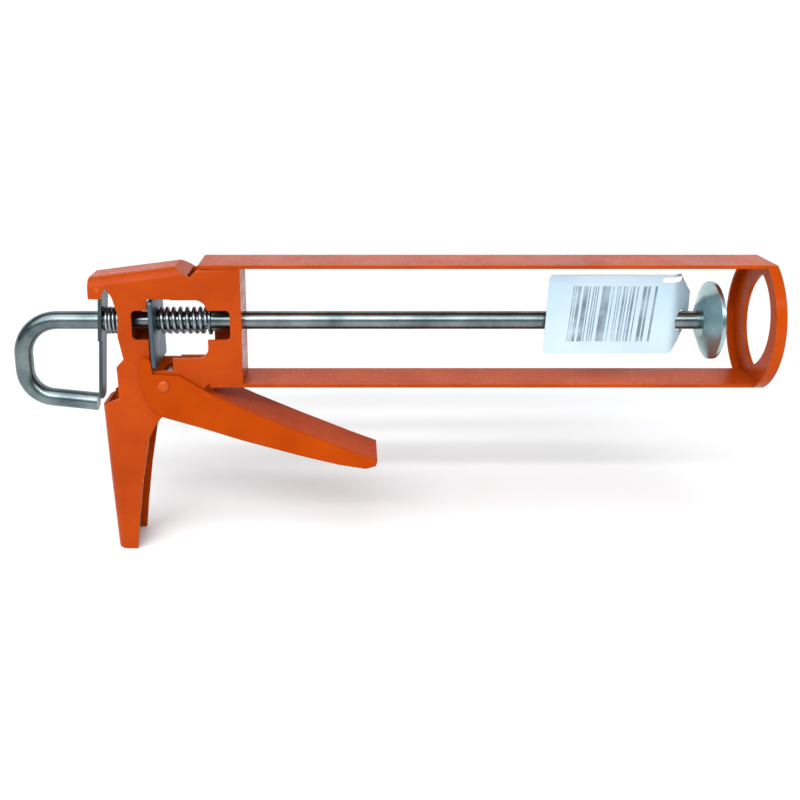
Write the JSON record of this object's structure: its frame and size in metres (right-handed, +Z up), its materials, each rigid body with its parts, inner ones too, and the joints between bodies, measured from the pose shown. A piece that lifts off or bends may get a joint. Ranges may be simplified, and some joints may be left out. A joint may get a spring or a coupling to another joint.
{
  "type": "caulking gun",
  "caption": "Open-frame caulking gun with pressed steel handle, lever trigger, hooked push rod, sprung drive and catch plates, dished piston and oval nozzle ring.",
  "frame": {"origin": "on the push rod's axis in the plane of the handle's front edge, where the cartridge's rear rim rests", "axes": "+X along the push rod towards the nozzle, +Z up away from the grip, +Y to the gun's left"},
  "size_m": [0.3283, 0.053, 0.1323],
  "materials": {
    "orange_paint": "gloss",
    "painted_rivet": "gloss",
    "zinc_steel": "bright zinc",
    "drive_steel": "satin zinc",
    "catch_steel": "satin zinc",
    "spring_wire": "bright drawn wire",
    "piston_steel": "bright zinc",
    "tag_card": "coated card"
  },
  "bodies": {
    "frame": {"handle_body": "orange_paint", "front_plate": "orange_paint", "front_bush": "zinc_steel", "rear_guide": "orange_paint", "top_strap": "orange_paint", "bottom_strap": "orange_paint", "nozzle_ring": "orange_paint", "pivot_rivet": "painted_rivet", "pivot_spacer": "zinc_steel", "catch_pin": "painted_rivet", "return_spring": "spring_wire", "catch_spring": "spring_wire"},
    "trigger": {"trigger": "orange_paint"},
    "drive_plate": {"drive_plate": "drive_steel"},
    "catch_plate": {"catch_plate": "catch_steel"},
    "piston": {"piston_disc": "piston_steel"},
    "rod": {"push_rod": "zinc_steel", "piston_washer": "zinc_steel", "piston_nut": "zinc_steel"},
    "tag": {"swing_tag": "tag_card"}
  },
  "joints": [
    {"name": "trigger_squeeze", "type": "hinge", "parent": "frame", "child": "trigger", "pos_m": [-0.0343, 0, -0.0264], "axis": [0, 1, 0], "range_deg": [0, 32], "stiffness_Nm_per_rad": 0.35, "springref_deg": -14.32},
    {"name": "drive_plate_slide", "type": "slide", "parent": "frame", "child": "drive_plate", "axis": [1, 0, 0], "range_m": [0, 0.0066], "deforming": ["return_spring"]},
    {"name": "rod_slide", "type": "slide", "parent": "frame", "child": "piston", "axis": [1, 0, 0], "range_m": [-0.128, 0]},
    {"name": "rod_turn", "type": "hinge", "parent": "piston", "child": "rod", "pos_m": [0, 0, 0], "axis": [1, 0, 0], "continuous": true},
    {"name": "tag_swing", "type": "hinge", "parent": "rod", "child": "tag", "pos_m": [0, 0, 0], "axis": [1, 0, 0], "range_deg": [-75, 75]},
    {"name": "catch_press", "type": "hinge", "parent": "frame", "child": "catch_plate", "pos_m": [-0.0607, 0, 0.0164], "axis": [0, 1, 0], "range_deg": [-6, 0], "stiffness_Nm_per_rad": 0.3, "springref_deg": 17.19, "deforming": ["catch_spring"]}
  ],
  "couplings": [
    {"joint": "drive_plate_slide", "follows": "trigger_squeeze", "m_per_rad": 0.0117}
  ]
}
